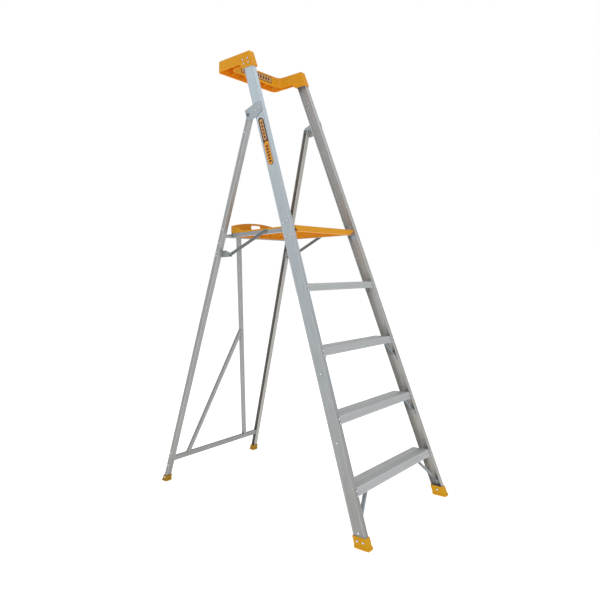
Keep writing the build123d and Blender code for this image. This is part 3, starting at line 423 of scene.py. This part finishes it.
# The finish of a node is that of the first of these that its name starts with, or else that of its slot:
# its faces, its rounded edges with a painted highlight or shade line, and its underside, with painted light,
# where that differs.
NAMED_FINISH = {
    "hinge_plate": (PLATE_ZINC, PLATE_SHADE_EDGE),
    "hinge_bolt": (BOLT_ZINC,),
    "pivot_bracket": (PLATE_ZINC, PLATE_SHADE_EDGE),
    "rear_foot": (REAR_FOOT, REAR_FOOT_EDGE),
    "strut_bracket": (BRACKET_ZINC, ZINC_HIGHLIGHT_EDGE),
    "strut": (ZINC, ZINC_HIGHLIGHT_EDGE),
    "brace": (BRACE_METAL, ZINC_HIGHLIGHT_EDGE),
    "stile_right": (FAR_STILE_PAINTED_LIGHT, EDGE_HIGHLIGHT_METAL),
    "stile_left": (STILE_METAL, EDGE_HIGHLIGHT_METAL),
    "leg_right": (FAR_LEG_PAINTED_LIGHT, EDGE_HIGHLIGHT_METAL),
    "leg_left": (LEG_METAL, EDGE_HIGHLIGHT_METAL),
    "lower_bar_bracket": (ZINC, ZINC_HIGHLIGHT_EDGE),
    "lower_bar": (FLUTED_METAL, EDGE_HIGHLIGHT_METAL),
    "platform_rail": (RAIL_METAL, EDGE_HIGHLIGHT_METAL),
}
SLOT_FINISH = {
    "frame_aluminium": (BAR_METAL, EDGE_HIGHLIGHT_METAL),
    "tread_aluminium": (TREAD_METAL, EDGE_HIGHLIGHT_METAL),
    "zinc_steel": (ZINC, ZINC_HIGHLIGHT_EDGE),
    "yellow_plastic": (YELLOW, YELLOW_HIGHLIGHT_EDGE, YELLOW_UNDER_LIGHT),
    "foot_plastic": (FOOT, FOOT_EDGE),
    "fastener_steel": (BRIGHT,),
    "label_print": (LABEL_BLACK,),
    "bush_nylon": (BUSH,),
}
# Nodes of these slots keep their CAD mesh and only take a finish.
UNSOFTENED = ("fastener_steel", "label_print", "bush_nylon")

# Rounding of the edges, in mm, by the start of a node's name.
EDGE_WIDTH = {"stile": 1.2, "leg": 1.0, "tread": 0.35, "brace": 0.7, "front_foot": 1.8, "rear_foot": 1.8,
              "hinge_plate": 1.3, "pivot_bracket": 0.8, "top_guard": 1.6, "platform_deck": 1.2, "strut": 0.6}
OTHER_EDGE_WIDTH = 0.5


def by_start(table, node, otherwise):
    """The table's value for the first key that the node's name starts with."""
    for start, value in table.items():
        if node.startswith(start):
            return value
    return otherwise


def islands(bm):
    """The separate closed shells of a mesh, as lists of vertices."""
    left = set(bm.verts)
    found = []
    while left:
        pending = [left.pop()]
        group = []
        while pending:
            vert = pending.pop()
            group.append(vert)
            for edge in vert.link_edges:
                other = edge.other_vert(vert)
                if other in left:
                    left.remove(other)
                    pending.append(other)
        found.append(group)
    return found


# The axis that the rivets of each node run along, as an index into x, y, z.
RIVET_AXIS = {"web_rivets": 0, "leg_rivets": 0, "platform_rivets": 0, "tread_rivets": 1}
HEAD_SPREAD = 1.25          # width of a drawn head over that of the CAD head
CAP_SHARE = 0.72            # share of a head's radius that is bright; the rim outside it is painted shade
SAME_VERT = 0.001 * MM


def rivet_heads(node, axis):
    """Set rivets: spread heads with bright caps, and painted shade round their rims."""
    bm = bmesh.new()
    bm.from_mesh(NODES[node].data)
    bmesh.ops.remove_doubles(bm, verts=bm.verts[:], dist=SAME_VERT)
    along = Vector([1.0 if i == axis else 0.0 for i in range(3)])
    for group in islands(bm):
        low = Vector([min(vert.co[i] for vert in group) for i in range(3)])
        high = Vector([max(vert.co[i] for vert in group) for i in range(3)])
        middle = (low + high) / 2
        for vert in group:
            arm = vert.co - middle
            arm -= along * arm.dot(along)
            vert.co += arm * (HEAD_SPREAD - 1)
        reach = max(high[i] - low[i] for i in range(3) if i != axis) / 2 * HEAD_SPREAD
        for face in {face for vert in group for face in vert.link_faces}:
            arm = face.calc_center_median() - middle
            arm -= along * arm.dot(along)
            face.material_index = 0 if arm.length < CAP_SHARE * reach else 1
    finish_mesh(node + "_piece", bm, (BRIGHT, RIVET_RIM_SHADE), BODY[node], [node])


for node in sorted(NODES):
    finish = by_start(NAMED_FINISH, node, SLOT_FINISH[SLOT[node]])
    if node in RIVET_AXIS:
        rivet_heads(node, RIVET_AXIS[node])
    elif SLOT[node] in UNSOFTENED:
        NODES[node].data.materials.clear()
        NODES[node].data.materials.append(finish[0])
    else:
        from_cad(node, finish, by_start(EDGE_WIDTH, node, OTHER_EDGE_WIDTH) * MM)


# ---- Anti-slip ribs on the deck ----------------------------------------------

RIB_STEP = 15 * MM
RIB_RISE = 1.2 * MM
RIB_SINK = 0.5 * MM         # how far a rib reaches into the deck
RIB_FOOT = 2.2 * MM         # half a rib's thickness at its foot and at its crest
RIB_CREST = 1.1 * MM
RIB_END_SLOPE = 1.5 * MM
RIBS_FROM_NOSE = 22 * MM
RIBS_FROM_REAR = 48 * MM
RIBS_FROM_SIDE = 26 * MM
DECK_TAPER = 0.0645


def deck_ribs():
    """Low ribs across the standing surface, shorter toward the toe board."""
    low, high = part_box("platform_deck")
    first, last = low.y + RIBS_FROM_NOSE, high.y - RIBS_FROM_REAR
    count = int((last - first) / RIB_STEP)
    bm = bmesh.new()
    for i in range(count + 1):
        y = first + i * (last - first) / count
        half = high.x - DECK_TAPER * (y - low.y) - RIBS_FROM_SIDE
        rings = []
        for reach, thick, z in ((half, RIB_FOOT, DECK_TOP - RIB_SINK), (half, RIB_FOOT, DECK_TOP),
                                (half - RIB_END_SLOPE, RIB_CREST, DECK_TOP + RIB_RISE)):
            corners = ((-reach, -thick), (reach, -thick), (reach, thick), (-reach, thick))
            rings.append([bm.verts.new((x, y + dy, z)) for x, dy in corners])
        for lower, upper in zip(rings, rings[1:]):
            for k in range(4):
                after = (k + 1) % 4
                bm.faces.new((lower[k], lower[after], upper[after], upper[k]))
        bm.faces.new(rings[0][::-1])
        bm.faces.new(rings[-1])
    # The ribs are all in the yellow painted highlight of the rounded edges.
    finish_mesh("deck_ribs", bm, (YELLOW_HIGHLIGHT_EDGE,), BODY["platform_deck"], [])


deck_ribs()


# ---- Printed labels ----------------------------------------------------------

CORNER_STEPS = 8
PANEL_LIFT = 0.12 * MM      # how far a printed panel, and a bar on it, stand off the label
BAR_LIFT = 0.20 * MM
PRINT_START = 0.3 * MM      # from the middle of the stile's label out to where its print starts


def pill(half_width, low, high, radius):
    """Outline of an upright panel with rounded corners, in its own plane."""
    side, top, bottom = half_width - radius, high - radius, low + radius
    points = []
    for quarter, (across, along) in enumerate(((side, top), (-side, top), (-side, bottom), (side, bottom))):
        for i in range(CORNER_STEPS + 1):
            angle = math.radians(90 * (quarter + i / CORNER_STEPS))
            points.append((across + radius * math.cos(angle), along + radius * math.sin(angle)))
    return points


def inlays(name, node, origin, across, along, out, shapes):
    """Thin printed layers on a label; each shape is (material, lift, outline)."""
    bm = bmesh.new()
    for index, (_, lift, outline) in enumerate(shapes):
        under, over = [[bm.verts.new(origin + across * u + along * v + out * height) for u, v in outline]
                       for height in (0.0, lift)]
        faces = [bm.faces.new(over)]
        for i in range(len(outline)):
            after = (i + 1) % len(outline)
            faces.append(bm.faces.new((under[i], under[after], over[after], over[i])))
        faces.append(bm.faces.new(under[::-1]))
        for face in faces:
            face.material_index = index
    finish_mesh(name, bm, [material for material, _, _ in shapes], BODY[node], [])


def bar_row(count, first, step, half_width, height, radius):
    """Shapes for a column of plain bars, each a step above the last."""
    bars = []
    for i in range(count):
        low = first + i * step
        bars.append((LABEL_DARK, BAR_LIFT, pill(half_width, low, low + height, radius)))
    return bars


def stile_print():
    """Tan core in the black upper half, orange lower half, each with a row of plain bars."""
    low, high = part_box("stile_label")
    along = Vector((STILE_TAPER, STILE_RAKE, 1)).normalized()
    out = Vector((-1, 0, STILE_TAPER)).normalized()
    across = along.cross(out).normalized()
    origin = (low + high) / 2 + out * PRINT_START
    half = (high.z - low.z) / along.z / 2
    half_width = 17 * MM
    shapes = [(LABEL_TAN, PANEL_LIFT, pill(half_width - 6.5 * MM, 4 * MM, half - 8 * MM, 9 * MM)),
              (LABEL_ORANGE, PANEL_LIFT, pill(half_width - 1.5 * MM, 2 * MM - half, -2 * MM, 14 * MM))]
    shapes += bar_row(5, 15 * MM, 19 * MM, 5 * MM, 12 * MM, 2 * MM)
    shapes += bar_row(6, 13 * MM - half, 16 * MM, 8 * MM, 9.5 * MM, 2.5 * MM)
    inlays("stile_label_print", "stile_label", origin, across, along, out, shapes)


def guard_print():
    """Tan panel inside the dark outline of the guard's label, with a row of plain bars."""
    low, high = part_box("guard_label")
    origin = Vector(((low.x + high.x) / 2, low.y, (low.z + high.z) / 2))
    half_x, half_z = (high.x - low.x) / 2, (high.z - low.z) / 2
    border, bars, bar_margin = 3 * MM, 10, 24 * MM
    shapes = [(LABEL_TAN, PANEL_LIFT, pill(half_x - border, border - half_z, half_z - border, 6 * MM))]
    for i in range(bars):
        shift = -half_x + bar_margin + i * 2 * (half_x - bar_margin) / (bars - 1)
        bar = [(shift + u, v) for u, v in pill(6 * MM, -9 * MM, 9 * MM, 3 * MM)]
        shapes.append((LABEL_DARK, BAR_LIFT, bar))
    across, along, out = Vector((1, 0, 0)), Vector((0, 0, 1)), Vector((0, -1, 0))
    inlays("guard_label_print", "guard_label", origin, across, along, out, shapes)


stile_print()
guard_print()


# ---- Stage -------------------------------------------------------------------

FLOOR_REACH = 30.0
WHITE = (1.0, 1.0, 1.0)


def floor():
    """A plain pale floor that glows a little, so that it stays white to the edge of the picture."""
    corners = [(x * FLOOR_REACH, y * FLOOR_REACH, 0) for x, y in ((-1, -1), (1, -1), (1, 1), (-1, 1))]
    mesh = bpy.data.meshes.new("floor")
    mesh.from_pydata(corners, [], [(0, 1, 2, 3)])
    material, tree, shader = new_material("floor_paper")
    vector = turned_coords(tree, 0, 0)
    tone = remap(tree, noise(tree, vector, 3.0), 0.3, 0.7, 0.0, 1.0)
    link(tree, mix(tree, tone, (0.90, 0.90, 0.90), (0.93, 0.93, 0.93)), shader.inputs["Base Color"])
    shader.inputs["Roughness"].default_value = 0.9
    shader.inputs["Specular IOR Level"].default_value = 0.0
    shader.inputs["Emission Color"].default_value = (*WHITE, 1)
    shader.inputs["Emission Strength"].default_value = 0.5
    mesh.materials.append(material)
    plane = bpy.data.objects.new("floor", mesh)
    bpy.context.scene.collection.objects.link(plane)


def world():
    """Soft surroundings, dimmer toward the floor than overhead, that the camera sees as plain white."""
    scene = bpy.context.scene
    scene.world = bpy.data.worlds.new("studio")
    scene.world.use_nodes = True
    tree = scene.world.node_tree
    back = tree.nodes["Background"]
    coords = tree.nodes.new("ShaderNodeTexCoord")
    split = tree.nodes.new("ShaderNodeSeparateXYZ")
    link(tree, coords.outputs["Generated"], split.inputs["Vector"])
    share = remap(tree, split.outputs["Z"], -0.2, 0.8, 0.0, 1.0)
    sky = mix(tree, share, (0.52, 0.52, 0.52), (0.72, 0.73, 0.75))
    path = tree.nodes.new("ShaderNodeLightPath")
    colour = mix(tree, path.outputs["Is Camera Ray"], sky, WHITE)
    link(tree, colour, back.inputs["Color"])
    back.inputs["Strength"].default_value = 1.0
    scene.view_settings.view_transform = "Standard"


def area_light(name, at, aim, size, watts, colour):
    """A rectangular light that faces its aim."""
    data = bpy.data.lights.new(name, "AREA")
    data.shape = "RECTANGLE"
    data.size, data.size_y = size
    data.energy = watts
    data.color = colour
    light = bpy.data.objects.new(name, data)
    light.location = at
    light.rotation_euler = (Vector(aim) - Vector(at)).to_track_quat("-Z", "Y").to_euler()
    bpy.context.scene.collection.objects.link(light)


CAMERA_AT = (-2.23267, -1.90660, 1.11467)
CAMERA_HEADING = math.radians(39.7609)      # of the line of sight, from x toward y
CAMERA_TILT = math.radians(-2.2716)         # of the line of sight, up from level
CAMERA_ROLL = math.radians(-1.3768)
SENSOR_WIDTH = 36.0
LENS = 33.549
CLIP_END = 200


def camera():
    """An unturned camera looks down with its top toward y, and this one is turned from there."""
    data = bpy.data.cameras.new("camera")
    data.sensor_width = SENSOR_WIDTH
    data.lens = LENS
    data.clip_end = CLIP_END
    view = bpy.data.objects.new("camera", data)
    right_angle = math.pi / 2
    heading = Matrix.Rotation(CAMERA_HEADING - right_angle, 4, "Z")
    tilt = Matrix.Rotation(CAMERA_TILT + right_angle, 4, "X")
    view.matrix_world = Matrix.Translation(CAMERA_AT) @ heading @ tilt @ Matrix.Rotation(CAMERA_ROLL, 4, "Z")
    bpy.context.scene.collection.objects.link(view)
    bpy.context.scene.camera = view


floor()
world()
area_light("key", at=(-2.6, -3.2, 3.6), aim=(0, 0, 1.3), size=(2.5, 2.5), watts=45, colour=(1.0, 0.99, 0.97))
area_light("top", at=(0.5, 0.5, 4.6), aim=(0, 0, 1.0), size=(3.0, 3.0), watts=40, colour=(0.97, 0.99, 1.0))
camera()
